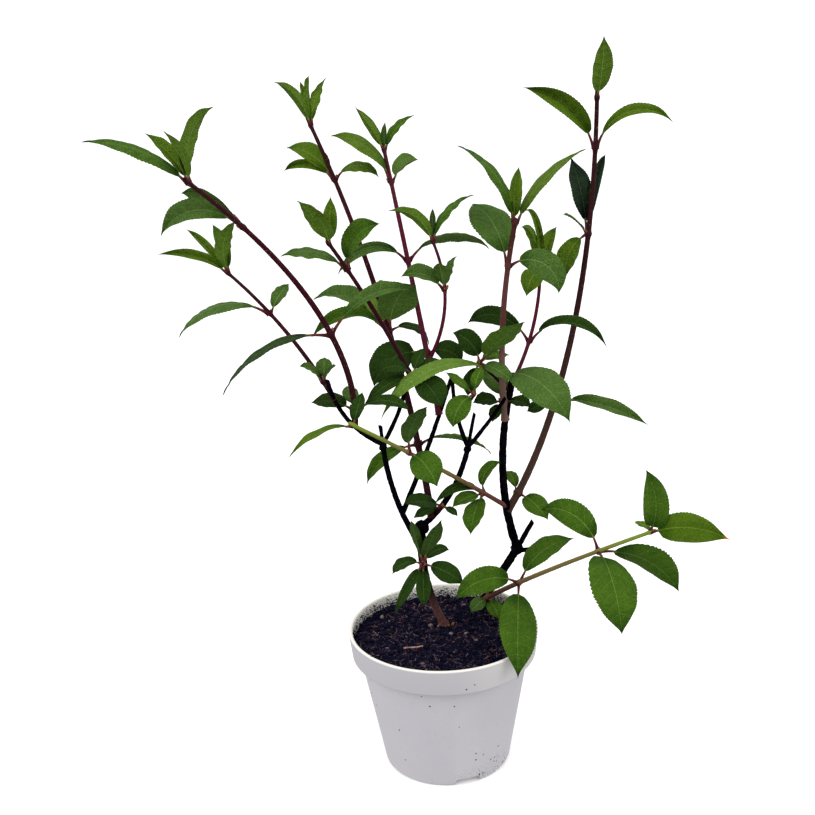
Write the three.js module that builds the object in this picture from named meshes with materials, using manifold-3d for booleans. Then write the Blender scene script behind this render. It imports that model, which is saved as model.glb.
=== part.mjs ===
// Potted panicle hydrangea: a young shrub in a plain plastic nursery pot.
// Two woody trunks fork into dark pruned limbs. This year's shoots grow from the limbs,
// and each shoot has a pair or a whorl of leaves at every node and a tuft at its tip.
//
// Millimetres, +Z up. The origin is the centre of the pot's flat underside.
// A heading is a compass angle in degrees, seen from above: 0 is right (+X), 90 is back (+Y),
// 180 is left and 270 is the front. A lean is measured down from upright, a rise up from level.

import * as THREE from 'three';
import { mergeVertices } from 'three/addons/utils/BufferGeometryUtils.js';
import Module from 'manifold-3d';

const wasm = await Module();
wasm.setup();

// Gap that keeps one piece clear of the next
const gap = 0.3;

// Pot
const potHeight = 127;
const rimRadius = 85;
const lipWidth = 4.5;
const lipHeight = 4;
const collarHeight = 24;
const collarFoot = potHeight - collarHeight;
const collarRadius = 82.5;
const bodyTopRadius = 76;
const footRadius = 57;
const potWall = 1.6;
const floorRadius = 44;
const gutterHeight = 6;
const potSides = 40;

// Three notches cut through the foot ring, and a drain hole in the gutter behind and between them
const notchCount = 3;
const notchWidth = 23;
const notchHeading = 287;
const drainHoleRadius = 4;
const drainHoleCount = 6;

// Soil
const soilLevel = 115;
const soilFloor = gutterHeight + potWall + gap;

// Wood. Each limb leaves its parent at one [lean, heading] and ends at another, in a smooth arc.
// girth is the diameter at its foot and at its end; a knuckle is the swelling of an old fork.
const limbs = [
  { name: 'trunk_left', foot: [1, 23], length: 108, start: [25, 200], end: [8, 315],
    girth: [8.5, 8], flare: 0.9, knuckle: 13 },
  { name: 'trunk_right', foot: [36, 61], length: 76, start: [34, 320], end: [31, 355],
    girth: [8.5, 8], flare: 0.8, knuckle: 11 },
  { name: 'limb_left', on: 'trunk_left', at: 0.79, length: 116, start: [31, 215], end: [13, 255],
    girth: [5.4, 4.4], knuckle: 7 },
  { name: 'limb_left_outer_arm', on: 'limb_left', at: 0.99, length: 79, start: [60, 200], end: [14, 230],
    girth: [4, 3.4] },
  { name: 'limb_left_stub', on: 'limb_left', at: 0.99, length: 16, start: [4, 180], end: [4, 180],
    girth: [3.4, 3.2] },
  { name: 'limb_left_inner_arm', on: 'limb_left', at: 0.99, length: 68, start: [44, 40], end: [20, 60],
    girth: [3.8, 3.2] },
  { name: 'limb_middle', on: 'limb_left', at: 0.36, length: 126, start: [26, 20], end: [24, 35],
    girth: [4.8, 3.4] },
  { name: 'limb_centre', on: 'trunk_left', at: 0.99, length: 90, start: [67, 15], end: [20, 305], settle: 2,
    girth: [5.6, 4.6], knuckle: 6.5 },
  { name: 'limb_centre_left_arm', on: 'limb_centre', at: 0.99, length: 68, start: [22, 200], end: [4, 285],
    girth: [3.8, 3.2] },
  { name: 'limb_centre_stub', on: 'limb_centre', at: 0.99, length: 30, start: [13, 20], end: [13, 20],
    girth: [3.2, 2.9] },
  { name: 'limb_centre_right_arm', on: 'limb_centre', at: 0.99, length: 53, start: [45, 15], end: [42, 30],
    girth: [3.8, 3.2] },
  { name: 'limb_right', on: 'trunk_right', at: 0.98, length: 166, start: [20, 215], end: [14, 0],
    girth: [7.8, 6] },
  { name: 'limb_right_stub', on: 'trunk_right', at: 0.98, length: 31, start: [28, 345], end: [28, 345],
    girth: [5, 4.4] },
  { name: 'limb_right_short_stub', on: 'trunk_right', at: 0.94, length: 15, start: [83, 350], end: [83, 350],
    girth: [4.6, 4.2] },
];
const limbSides = 8;

// Shoots. Up to leafyFrom the stem is a bare bough with a collar of leaves at each node.
// From there on it is a mass: the soft tip of the stem with its leaves fused on.
// A node is a share of the way up, then its leaves. A leaf is the heading, rise and reach of its tip,
// and may go on with its arch, which is how far the midrib turns over, its width as a share of its
// reach, a turn of the blade about the midrib, and how far its two halves fold up.
const shoots = [
  { name: 'left_long', on: 'limb_left_outer_arm', at: 0.39, length: 250, start: [16, 335], end: [50, 200],
    settle: 2, girth: [5.3, 3.3], leafyFrom: 0.77, nodes: [
      [0.06, [345, 0, 46, 80, 0.3], [160, 5, 38, 50, 0.5], [105, 20, 34]],
      [0.34, [195, -25, 96, 75, 0.41, -30, 5], [35, 15, 85, 80, 0.2, -20, 45]],
      [0.78, [160, -5, 72, 100, 0.3, 45, 40], [155, 25, 60, 65, 0.3, 70, 45]],
      [0.98, [200, 25, 78, 55, 0.34, 20, 5], [145, 40, 56, 30, 0.28, 30, 45],
        [255, 50, 48, 30, 0.26, 0, 45], [35, 65, 57, 85, 0.5, 20, 35]],
    ] },
  { name: 'left_low', on: 'limb_left_outer_arm', at: 0.76, length: 142, start: [32, 155], end: [54, 155],
    girth: [3.9, 2.7], leafyFrom: 0.62, nodes: [
      [0.13, [210, 40, 25, 50, 0.62], [90, 45, 23, 40, 0.62], [325, 45, 20, 40, 0.62]],
      [0.63, [195, -10, 75, 100, 0.39, -25, 0], [55, 40, 32]],
      [0.98, [210, 20, 62, 50, 0.24, 70, 55], [135, 30, 69, 20, 0.2, 50, 60],
        [120, 50, 50, 30, 0.3, 20, 45], [350, 75, 44, 85, 0.46, 20, 10]],
    ] },
  { name: 'centre_left', on: 'limb_centre', at: 0.13, length: 366, start: [12, 125], end: [27, 150],
    girth: [6.2, 3.3], leafyFrom: 0.83, nodes: [
      [0.18, [355, -10, 63, 95, 0.41, 40, 0], [165, -40, 62, 60, 0.27, 40, 40]],
      [0.46, [220, 5, 80, 90, 0.24, 55, 45], [5, -25, 36, 120, 0.4, 10, 10],
        [145, 15, 87, 80, 0.28, 45, 40], [315, 50, 55, 85, 0.62, 55, 5], [105, 55, 50, 100, 0.72, 0, 5]],
      [0.84, [160, 10, 49, 90, 0.32, 55, 60], [150, 30, 57, 65, 0.36, 15, 30],
        [350, 0, 38, 120, 0.5, 5, 10]],
      [0.98, [235, 40, 56, 60, 0.22, -50, 45], [40, 65, 43, 40, 0.42, 0, 15],
        [110, 50, 51, 35, 0.24, 35, 60], [280, 75, 41, 150, 0.28, -20, 60]],
    ] },
  { name: 'upper_left', on: 'limb_left_inner_arm', at: 0.97, length: 140, start: [28, 220], end: [37, 220],
    girth: [4.2, 3], leafyFrom: 0.77, nodes: [
      [0.78, [185, 15, 53, 80, 0.41, -15, 5], [335, 50, 47, 90, 0.5, -40, 30]],
      [0.98, [210, 55, 42, 35, 0.45, -30, 20], [65, 80, 36, 20, 0.42, -30, 40], [250, 50, 32]],
    ] },
  { name: 'centre_tall', on: 'limb_middle', at: 0.73, length: 238, start: [18, 120], end: [16, 130],
    girth: [5.3, 3.3], leafyFrom: 0.85, nodes: [
      [0.23, [355, -20, 30, 90, 0.75, -20, 10], [190, -30, 53, 100, 0.66, 20, 10]],
      [0.57, [210, -5, 67, 115, 0.2, 60, 45], [5, 5, 70, 105, 0.41, 50, 5]],
      [0.86, [185, 40, 64, 80, 0.52, -10, 10], [50, 25, 40, 65, 0.5, 95, 40]],
      [0.98, [210, 55, 45, 20, 0.27, -55, 45], [15, 45, 39, 50, 0.28, -40, 35],
        [295, 80, 24, 5, 0.32, 15, 45]],
    ] },
  { name: 'centre_small', on: 'bough_centre_tall', at: 0.2, length: 112, start: [32, 335], end: [22, 190],
    girth: [3.5, 2.5], leafyFrom: 0.59, nodes: [
      [0.6, [220, 20, 49, 70, 0.39, 40, 40], [355, 70, 30, 55, 0.45, -5, 10], [260, 50, 34]],
      [0.98, [210, 35, 49, 80, 0.25, -55, 35], [10, 45, 50, 75, 0.35, -10, 10],
        [275, 80, 28, 60, 0.31, 10, 50]],
    ] },
  { name: 'right_centre', on: 'limb_right', at: 0.79, length: 179, start: [10, 240], end: [14, 325],
    girth: [6.2, 4], leafyFrom: 0.77, nodes: [
      [0.1, [200, 5, 27, 40, 0.68], [325, -5, 25, 50, 0.62], [125, 45, 38, 30, 0.52],
        [95, 45, 30, 40, 0.5], [225, -50, 20, 40, 0.6]],
      [0.24, [208, -10, 117, 95, 0.21, 5, 20], [310, -20, 81, 90, 0.48, 0, 10]],
      [0.78, [125, 55, 66, 80, 0.6, -10, 15], [345, -30, 46, 140, 0.5, -50, 10]],
      [0.98, [175, 55, 77, 65, 0.34, 15, 5], [0, 45, 80, 50, 0.35, -10, 5],
        [75, 60, 51, 35, 0.33, -25, 50]],
    ] },
  { name: 'right_mid', on: 'limb_right', at: 0.99, length: 101, start: [33, 25], end: [7, 70],
    girth: [3.6, 2.9], leafyFrom: 0.38, nodes: [
      [0.39, [145, 10, 63, 105, 0.28, 60, 20], [330, 0, 70, 115, 0.29, -40, 45]],
      [0.98, [105, 55, 62, 135, 0.2, 40, 60], [50, 55, 46, 60, 0.36, -20, 40],
        [240, 50, 56, 110, 0.2, -60, 40], [240, -30, 32, 100, 0.6, 30, 15], [50, 15, 26]],
    ] },
  { name: 'right_tall', on: 'limb_right', at: 0.25, length: 383, start: [43, 25], end: [1, 295],
    settle: 2, girth: [7, 3.7], leafyFrom: 0.67, nodes: [
      [0.05, [105, 25, 28, 60], [310, -25, 38, 50, 0.6]],
      [0.29, [150, -30, 31, 5, 0.41, 60, 25], [330, -10, 86, 40, 0.34, -40, 45]],
      [0.68, [110, 65, 72, 30, 0.36, -20, 20], [65, 50, 86, 60, 0.2, -15, 60],
        [205, -60, 43, 75, 0.48, 5, 20], [215, 35, 34]],
      [0.87, [190, 40, 82, 70, 0.38, 70, 60], [10, 15, 71, 120, 0.2, -35, 45]],
      [0.98, [270, 55, 58, 5, 0.31, -15, 0]],
    ] },
  { name: 'left_arching', on: 'limb_right', at: 0.28, length: 199, start: [55, 230], end: [57, 205],
    girth: [4.4, 3], leafyFrom: 0.68, nodes: [
      [0.2, [30, 50, 30, 125, 0.4, 0, 25], [250, -32, 45, 45, 0.6, -25, 15], [220, -5, 36],
        [210, 0, 49, 105, 0.25, 50, 45]],
      [0.69, [298, -18, 50, 50, 0.62, -15, 15], [335, 65, 44, 70, 0.6, 45, 10]],
      [0.98, [210, -15, 58, 60, 0.25], [70, 45, 30]],
    ] },
  { name: 'right_low', on: 'trunk_right', at: 0.09, length: 216, start: [56, 290], end: [67, 350],
    girth: [5, 3.1], leafyFrom: 0.75, nodes: [
      [0.07, [225, -15, 24, 40, 0.6], [290, -25, 26, 40, 0.6], [290, 45, 26]],
      [0.34, [200, -5, 61, 85, 0.41, 30, 25], [20, 30, 63, 70, 0.43, 15, 15],
        [264, -27, 98, 40, 0.35, 15, 15]],
      [0.76, [145, 25, 60, 100, 0.39, 40, 5], [280, -40, 74, 110, 0.59, 20, 15],
        [0, -30, 79, 65, 0.42, -95, 0]],
      [0.98, [110, 80, 52, 85, 0.52, 30, 40], [315, 10, 73, 40, 0.35, -85, 15], [110, 0, 24]],
    ] },
  // Short spurs: a few leaves on a stem no longer than a fingernail
  { name: 'rosette', on: 'trunk_left', at: 0.63, length: 15, start: [66, 270], end: [66, 270],
    girth: [3, 2.6], leafyFrom: 0, nodes: [
      [0.9, [240, 70, 50, 10, 0.24, -40, 45], [330, 65, 49, 20, 0.43, 45, 0],
        [40, 5, 31, 90, 0.33, -45, 25], [345, -25, 40, 30, 0.48, -15, 15],
        [270, -50, 39, 50, 0.37, -5, 25], [245, -20, 65, 40, 0.2, 15, 45],
        [190, -15, 28, 95, 0.55, -10, 20]],
    ] },
  { name: 'fork_spur', on: 'limb_centre', at: 0.2, length: 13, start: [57, 295], end: [42, 335],
    girth: [2.6, 2.2], leafyFrom: 0, nodes: [
      [0.9, [210, 15, 40, 40, 0.5], [185, -20, 28], [315, -15, 18]],
    ] },
  { name: 'inner_spur', on: 'limb_left_inner_arm', at: 0.88, length: 12, start: [60, 300], end: [60, 300],
    girth: [2.8, 2.4], leafyFrom: 0, nodes: [
      [0.9, [210, 10, 34, 90, 0.6], [60, 40, 28], [30, 15, 30], [315, -35, 40, 60, 0.7],
        [210, -20, 48, 40, 0.3]],
    ] },
  { name: 'centre_spur', on: 'limb_centre_left_arm', at: 0.42, length: 30, start: [43, 315], end: [32, 340],
    girth: [2.6, 2.2], leafyFrom: 0, nodes: [
      [0.95, [175, 40, 30, 10, 0.4, -5, 15], [55, 55, 26], [225, -40, 35, 90, 0.6, 5, 15],
        [325, 60, 18]],
    ] },
  { name: 'right_spur', on: 'limb_right', at: 0.95, length: 42, start: [45, 200], end: [45, 200],
    girth: [2.8, 2.4], leafyFrom: 0, nodes: [
      [0.95, [195, 50, 37, 70, 0.55, 50, 15], [320, 40, 62, 25, 0.45, 45, 10], [40, 0, 36],
        [320, -20, 38], [225, -60, 30, 40, 0.5]],
    ] },
];
const shootSides = 6;

// A trunk's skin starts this far down its path, below the flat cut at the soil
const sunkLength = 12;

// Leaves
const usualArch = 40;
const usualWidth = 0.42;
const usualFold = 20;
const stalkWidth = 2.4;
const stalkShare = 0.16;
const leafThickness = 1.5;

// A full-grown blade also turns its face to the front, where the light comes from. The young
// leaves above youngFrom on a shoot don't yet.
const frontRoll = 30;
const youngFrom = 0.9;

const collarThickness = 1.8;
const nodeCollarHeight = 5;

const plastic = { color: 0xc6c5ca, roughness: 0.55, metalness: 0 };
const compost = { color: 0x1d1719, roughness: 1, metalness: 0 };
const oldWood = { color: 0x15110f, roughness: 0.85, metalness: 0 };
const shootBark = { color: 0x4a1f24, roughness: 0.6, metalness: 0 };
const foliage = { color: 0x3f6a1c, roughness: 0.5, metalness: 0 };

const plant = new THREE.Group();

// Turning a closed three.js geometry into a solid, and a solid into a named mesh of the group

function solidOf(geometry) {
  const bare = geometry.clone();
  bare.deleteAttribute('normal');
  bare.deleteAttribute('uv');
  const merged = mergeVertices(bare, 1e-4);
  return new wasm.Manifold(new wasm.Mesh({
    numProp: 3,
    vertProperties: new Float32Array(merged.attributes.position.array),
    triVerts: new Uint32Array(merged.index.array),
  }));
}

function largestBody(solid) {
  const bodies = solid.decompose();
  bodies.sort((a, b) => b.volume() - a.volume());
  return bodies[0];
}

function addPiece(name, solid, look) {
  const { vertProperties, triVerts } = solid.getMesh();
  const geometry = new THREE.BufferGeometry();
  geometry.setAttribute('position', new THREE.BufferAttribute(vertProperties, 3));
  geometry.setIndex(new THREE.BufferAttribute(triVerts, 1));
  const mesh = new THREE.Mesh(geometry, new THREE.MeshStandardMaterial(look));
  mesh.name = name;
  plant.add(mesh);
}

// Pot: a turned shell with a stepped collar, a rolled lip, and a gutter round its flat underside

function turned(profile) {
  const points = profile.map(([radius, height]) => new THREE.Vector2(radius, height));
  return new THREE.LatheGeometry(points, potSides).rotateX(Math.PI / 2);
}

// The outside radius of the plain wall below the collar
function wallRadiusAt(height) {
  return THREE.MathUtils.mapLinear(height, 0, collarFoot, footRadius, bodyTopRadius);
}

function potSolid() {
  const gutterRadius = footRadius - potWall;
  const shell = solidOf(turned([
    [0, 0],
    [floorRadius, 0],
    [floorRadius, gutterHeight],
    [gutterRadius, gutterHeight],
    [gutterRadius, 0],
    [footRadius - 0.5, 0],
    [footRadius + 0.3, 1.5],
    [wallRadiusAt(collarFoot), collarFoot],
    [collarRadius, collarFoot + 0.4],
    [rimRadius - 1, potHeight - lipHeight],
    [rimRadius, potHeight - lipHeight + 0.8],
    [rimRadius, potHeight - 1],
    [rimRadius - 1.2, potHeight],
    [rimRadius - lipWidth + 1, potHeight],
    [rimRadius - lipWidth, potHeight - 1],
    [collarRadius - potWall, collarFoot + 3],
    [wallRadiusAt(collarFoot) - potWall, collarFoot + potWall],
    [wallRadiusAt(gutterHeight + potWall) - potWall, gutterHeight + potWall],
    [floorRadius - potWall, gutterHeight + potWall],
    [floorRadius - potWall, potWall],
    [0, potWall],
  ]));
  const cuts = [];
  for (let i = 0; i < notchCount; i += 1) {
    const notch = new THREE.BoxGeometry(2 * gutterHeight + potWall, notchWidth, 2 * gutterHeight);
    notch.translate(footRadius, 0, -gap);
    notch.rotateZ(THREE.MathUtils.degToRad(notchHeading + (i * 360) / notchCount));
    cuts.push(solidOf(notch));
  }
  for (let i = 0; i < drainHoleCount; i += 1) {
    const hole = new THREE.CylinderGeometry(drainHoleRadius, drainHoleRadius, gutterHeight, 12);
    hole.rotateX(Math.PI / 2);
    hole.translate((floorRadius + gutterRadius) / 2, 0, gutterHeight + potWall / 2);
    hole.rotateZ(THREE.MathUtils.degToRad(notchHeading + ((i + 0.5) * 360) / drainHoleCount));
    cuts.push(solidOf(hole));
  }
  return shell.subtract(wasm.Manifold.union(cuts));
}

// Soil: one plug that fills the pot to just under the lip, a hair clear of the wall
function soilSolid() {
  const inset = potWall + gap;
  return solidOf(turned([
    [0, soilFloor],
    [wallRadiusAt(soilFloor) - inset, soilFloor],
    [wallRadiusAt(collarFoot - 2) - inset, collarFoot - 2],
    [wallRadiusAt(collarFoot) - inset, collarFoot + 2],
    [collarRadius - inset - 1, soilLevel - 6],
    [collarRadius - inset - 0.6, soilLevel],
    [0, soilLevel],
  ]));
}

// Growth: a stem's path, and the skin that is laid over a path

function directionOf(lean, heading) {
  const tilt = THREE.MathUtils.degToRad(lean);
  const turn = THREE.MathUtils.degToRad(heading);
  return new THREE.Vector3(Math.sin(tilt) * Math.cos(turn), Math.sin(tilt) * Math.sin(turn), Math.cos(tilt));
}

// The direction swings evenly from the start to the end; settle above 1 swings it early.
function stemPath(foot, { length, start, end, settle = 1 }) {
  const steps = 12;
  const points = [foot.clone()];
  for (let i = 0; i < steps; i += 1) {
    const swing = ((i + 0.5) / steps) ** (1 / settle);
    const direction = directionOf(...start).lerp(directionOf(...end), swing).normalize();
    points.push(points[i].clone().addScaledVector(direction, length / steps));
  }
  return new THREE.CatmullRomCurve3(points);
}

// Moves the rows of an upright unit cylinder or cone onto a path. sectionAt gives how far
// across and how far up a point of the skin lies, from its share of the path and its angle.
// The foot and the tip are pushed out by their overruns.
function alongPath(geometry, path, heading, [footOverrun, tipOverrun], sectionAt) {
  const turn = THREE.MathUtils.degToRad(heading);
  const level = new THREE.Vector3(-Math.sin(turn), Math.cos(turn), 0);
  const skin = geometry.attributes.position;
  for (let i = 0; i < skin.count; i += 1) {
    const share = skin.getY(i) + 0.5;
    const angle = Math.atan2(skin.getX(i), skin.getZ(i));
    const onAxis = Math.hypot(skin.getX(i), skin.getZ(i)) < 1e-6;
    const [across, up, along = share] = sectionAt(share, angle);
    const tangent = path.getTangentAt(along);
    const upward = tangent.clone().cross(level).normalize();
    const sideways = tangent.clone().cross(upward);
    const spot = path.getPointAt(along);
    if (!onAxis) spot.addScaledVector(sideways, across).addScaledVector(upward, up);
    if (share < 1e-6) spot.addScaledVector(tangent, -footOverrun);
    if (share > 1 - 1e-6) spot.addScaledVector(tangent, tipOverrun);
    skin.setXYZ(i, spot.x, spot.y, spot.z);
  }
  return solidOf(geometry);
}

const built = {};

// A limb, or the stretch of one between two shares of its path, thicker and longer by extra
function limbSolid(limb, { from = 0, to = 1, sides = limbSides, extra = 0 } = {}) {
  const { path, spec } = limb;
  const span = (to - from) * spec.length;
  const rows = Math.max(1, Math.ceil(span / 30));
  const tube = new THREE.CylinderGeometry(1, 1, 1, sides, rows);
  const footOverrun = spec.on ? extra : sunkLength;
  const pieces = [alongPath(tube, path, spec.start[1], [footOverrun, extra], (share, angle) => {
    const along = THREE.MathUtils.lerp(from, to, share);
    const flare = 1 + (spec.flare ?? 0) * Math.exp((-along * spec.length) / 7);
    const radius = (THREE.MathUtils.lerp(...spec.girth, along) / 2) * flare + extra;
    return [Math.sin(angle) * radius, Math.cos(angle) * radius, along];
  })];
  if (spec.knuckle) {
    const knuckle = new THREE.IcosahedronGeometry(spec.knuckle / 2 + extra, 1);
    knuckle.translate(...path.getPointAt(0.97));
    pieces.push(solidOf(knuckle));
  }
  return wasm.Manifold.union(pieces);
}

// What each new piece is cut clear of, as solids that are larger by the gap
const standing = [];

function isNear(solid, other) {
  const [a, b] = [solid.boundingBox(), other.boundingBox()];
  return [0, 1, 2].every((axis) => a.min[axis] < b.max[axis] && b.min[axis] < a.max[axis]);
}

function clearOf(solid, others) {
  const near = others.filter((other) => isNear(solid, other));
  return near.length ? largestBody(solid.subtract(wasm.Manifold.union(near))) : solid;
}

function growLimb(spec) {
  const foot = spec.on ? built[spec.on].path.getPointAt(spec.at) : new THREE.Vector3(...spec.foot, soilLevel);
  built[spec.name] = { path: stemPath(foot, spec), spec };
  return built[spec.name];
}

const pot = potSolid();
const soil = soilSolid();
const ground = new THREE.BoxGeometry(2 * rimRadius, 2 * rimRadius, potHeight);
ground.translate(0, 0, soilLevel + gap - potHeight / 2);
const groundSolid = solidOf(ground);

addPiece('pot', pot, plastic);
addPiece('soil', soil, compost);

for (const spec of limbs) {
  const limb = growLimb(spec);
  const solid = clearOf(limbSolid(limb), [...standing, groundSolid]);
  standing.push(limbSolid(limb, { extra: gap }));
  addPiece(spec.name, solid, oldWood);
}

// Leaves: a four-sided blade with a raised midrib, narrow at its stalk and pointed at its tip

function bladeOutline(share) {
  const along = Math.max(0, (share - stalkShare) / (1 - stalkShare));
  return Math.sin(Math.PI * along ** 0.85) ** 0.8;
}

function leafSolid({ foot, leaf, isYoung }, extra = 0) {
  const [heading, rise, reach, arch = usualArch, width = usualWidth, bladeTurn = 0, fold = usualFold] = leaf;
  const rows = 4;
  const facing = isYoung ? 0 : -frontRoll * Math.cos(THREE.MathUtils.degToRad(heading));
  const roll = THREE.MathUtils.degToRad(facing + bladeTurn);
  const halfFold = THREE.MathUtils.degToRad(fold);
  const bend = THREE.MathUtils.degToRad(arch);
  const step = (reach * (bend / 2)) / Math.sin(bend / 2) / rows;
  const points = [foot.clone()];
  for (let i = 0; i < rows; i += 1) {
    const lean = 90 - rise - arch / 2 + (arch * (i + 0.5)) / rows;
    points.push(points[i].clone().addScaledVector(directionOf(lean, heading), step));
  }
  const path = new THREE.CatmullRomCurve3(points);
  const cone = new THREE.CylinderGeometry(0, 1, 1, 4, rows);
  return alongPath(cone, path, heading, [extra, extra], (share, angle) => {
    const along = share * (0.75 + 0.25 * share);
    const halfWidth = Math.max(stalkWidth, width * reach * bladeOutline(along)) / 2;
    const out = Math.sin(angle) * (halfWidth + extra);
    const taper = 1 - 0.5 * share;
    const up = Math.cos(angle) * ((leafThickness / 2) * taper + extra) + Math.sin(halfFold) * Math.abs(out);
    const blade = new THREE.Vector2(Math.cos(halfFold) * out, up).rotateAround(new THREE.Vector2(), roll);
    return [blade.x, blade.y, along];
  });
}

// The leaves of one node, each rooted in the stem, or in the collar round it
function leavesAt(limb, [at, ...leaves], rootDepth) {
  const { path, spec } = limb;
  const centre = path.getPointAt(at);
  const tangent = path.getTangentAt(at);
  const radius = THREE.MathUtils.lerp(...spec.girth, at) / 2;
  const isYoung = at > youngFrom && spec.leafyFrom > 0;
  return leaves.map((leaf) => {
    const outward = directionOf(90 - leaf[1], leaf[0]).projectOnPlane(tangent).normalize();
    return { foot: centre.clone().addScaledVector(outward, radius + rootDepth), leaf, isYoung };
  });
}

function isFree(leaf, others) {
  const wider = leafSolid(leaf, gap);
  return others.every((other) => !isNear(wider, other) || wider.intersect(other).isEmpty());
}

const masses = [];

function addMass(name, core, leaves, ownStem) {
  const others = [pot, soil, ...standing.filter((solid) => solid !== ownStem), ...masses];
  const kept = leaves.filter((leaf) => isFree(leaf, others));
  const blades = kept.map((leaf) => leafSolid(leaf));
  const solid = clearOf(wasm.Manifold.union([core, ...blades]), [...standing, ...masses]);
  masses.push(solid);
  addPiece(name, solid, foliage);
}

// Boughs first, then the collars and tips, so that every leaf knows where all the stems are

for (const spec of shoots) {
  const limb = growLimb({ ...spec, name: `bough_${spec.name}` });
  if (spec.leafyFrom > 0) {
    const solid = clearOf(limbSolid(limb, { to: spec.leafyFrom, sides: shootSides }), standing);
    limb.clearance = limbSolid(limb, { to: spec.leafyFrom, sides: shootSides, extra: gap });
    standing.push(limb.clearance);
    addPiece(`bough_${spec.name}`, solid, shootBark);
  }
}

for (const spec of shoots) {
  const limb = built[`bough_${spec.name}`];
  const low = spec.nodes.filter(([at]) => at < spec.leafyFrom);
  const high = spec.nodes.filter(([at]) => at >= spec.leafyFrom);
  low.forEach((node, index) => {
    const half = nodeCollarHeight / 2 / spec.length;
    const core = limbSolid(limb, {
      from: node[0] - half, to: node[0] + half, sides: shootSides, extra: collarThickness });
    addMass(`leaves_${spec.name}_${index + 1}`, core, leavesAt(limb, node, gap + 0.6), limb.clearance);
  });
  const tip = limbSolid(limb, { from: spec.leafyFrom, to: 1, sides: shootSides });
  const leaves = high.flatMap((node) => leavesAt(limb, node, -0.8));
  addMass(`foliage_${spec.name}`, tip, leaves, limb.clearance);
}

export default plant;
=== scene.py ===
import math
import random
from collections import namedtuple
from functools import partial
from itertools import combinations

import bmesh
import bpy
import numpy as np
from mathutils import Matrix, Vector, noise


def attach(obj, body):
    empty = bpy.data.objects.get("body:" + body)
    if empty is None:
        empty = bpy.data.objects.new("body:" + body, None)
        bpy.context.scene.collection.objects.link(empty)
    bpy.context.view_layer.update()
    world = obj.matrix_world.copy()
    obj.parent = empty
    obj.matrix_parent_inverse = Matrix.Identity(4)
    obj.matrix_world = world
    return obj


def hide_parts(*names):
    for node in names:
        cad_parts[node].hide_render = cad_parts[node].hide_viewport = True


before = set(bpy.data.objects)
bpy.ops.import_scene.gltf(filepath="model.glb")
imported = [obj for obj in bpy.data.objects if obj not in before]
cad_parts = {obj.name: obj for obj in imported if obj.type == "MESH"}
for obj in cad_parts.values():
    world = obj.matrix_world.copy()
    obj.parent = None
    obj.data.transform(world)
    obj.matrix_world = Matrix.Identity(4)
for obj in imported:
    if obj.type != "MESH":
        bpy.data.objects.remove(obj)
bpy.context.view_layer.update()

# The pot
# A thin two-litre nursery pot, injection moulded in matte white plastic with a stepped collar
# and a rolled lip. It stands on a flat floor inside a foot ring with three drain notches.

MM = 0.001
POT_HEIGHT = 127 * MM
RIM_RADIUS = 85 * MM
LIP_WIDTH = 3.4 * MM
LIP_HEIGHT = 4 * MM
COLLAR_FOOT = 103 * MM
COLLAR_RADIUS = 82.5 * MM
BODY_TOP_RADIUS = 76 * MM
FOOT_RADIUS = 57 * MM
POT_WALL = 1.6 * MM
FLOOR_RADIUS = 44 * MM
GUTTER_HEIGHT = 6 * MM
POT_SIDES = 160
NOTCH_LENGTH = 10 * MM
NOTCH_WIDTH = 23 * MM
NOTCH_ROUNDING = 1.5 * MM
NOTCH_HEADINGS = (287, 47, 167)
DRAIN_HOLES = 6
DRAIN_HOLE_RADIUS = 4 * MM
SOIL_LEVEL = 115 * MM


class Wire:
    """An output in a material's node tree. Arithmetic on wires adds Math nodes."""

    def __init__(self, socket):
        self.socket = socket
        self.tree = socket.id_data

    def node(self, kind, inputs, output=0, **settings):
        """Adds a node: its settings first, then the values or links of its inputs."""
        added = self.tree.nodes.new("ShaderNode" + kind)
        for key, value in settings.items():
            setattr(added, key, value)
        for key, value in inputs.items():
            if isinstance(key, str):
                slot = next(s for s in added.inputs if s.enabled and s.name == key)
            else:
                slot = added.inputs[key]
            if isinstance(value, Wire):
                self.tree.links.new(value.socket, slot)
            else:
                slot.default_value = value
        return Wire(added.outputs[output])

    def maths(self, operation, first, second):
        return self.node("Math", {0: first, 1: second}, operation=operation)

    def __add__(self, other):
        return self.maths("ADD", self, other)

    def __sub__(self, other):
        return self.maths("SUBTRACT", self, other)

    def __rsub__(self, other):
        return self.maths("SUBTRACT", other, self)

    def __mul__(self, other):
        return self.maths("MULTIPLY", self, other)

    def __gt__(self, other):
        return self.maths("GREATER_THAN", self, other)

    __radd__ = __add__
    __rmul__ = __mul__

    def axes(self):
        """The three parts of this place: across, in depth and up."""
        split = self.node("SeparateXYZ", {"Vector": self})
        return [Wire(part) for part in split.socket.node.outputs]

    def rising(self, low, high):
        """A smooth step from 0 at low to 1 at high. Low may be the larger."""
        inputs = {"Value": self, "From Min": low, "From Max": high}
        return self.node("MapRange", inputs, interpolation_type="SMOOTHSTEP")

    def limited(self):
        """This value, kept between 0 and 1."""
        return self.node("Clamp", {"Value": self})

    def mottle(self, scale, detail=3.0, roughness=0.5):
        """Cloudy noise over this wire's places, about 0.5 on average."""
        inputs = {"Vector": self, "Scale": scale, "Detail": detail, "Roughness": roughness}
        return self.node("TexNoise", inputs)

    def colour(self, first, second):
        """The first colour where this mask is 0 and the second where it is 1."""
        return self.node("Mix", {"Factor": self, "A": first, "B": second}, 2, data_type="RGBA")

    def bump(self, strength, distance):
        """A surface that stands out where this value is high."""
        return self.node("Bump", {"Strength": strength, "Distance": distance, "Height": self})


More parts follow.
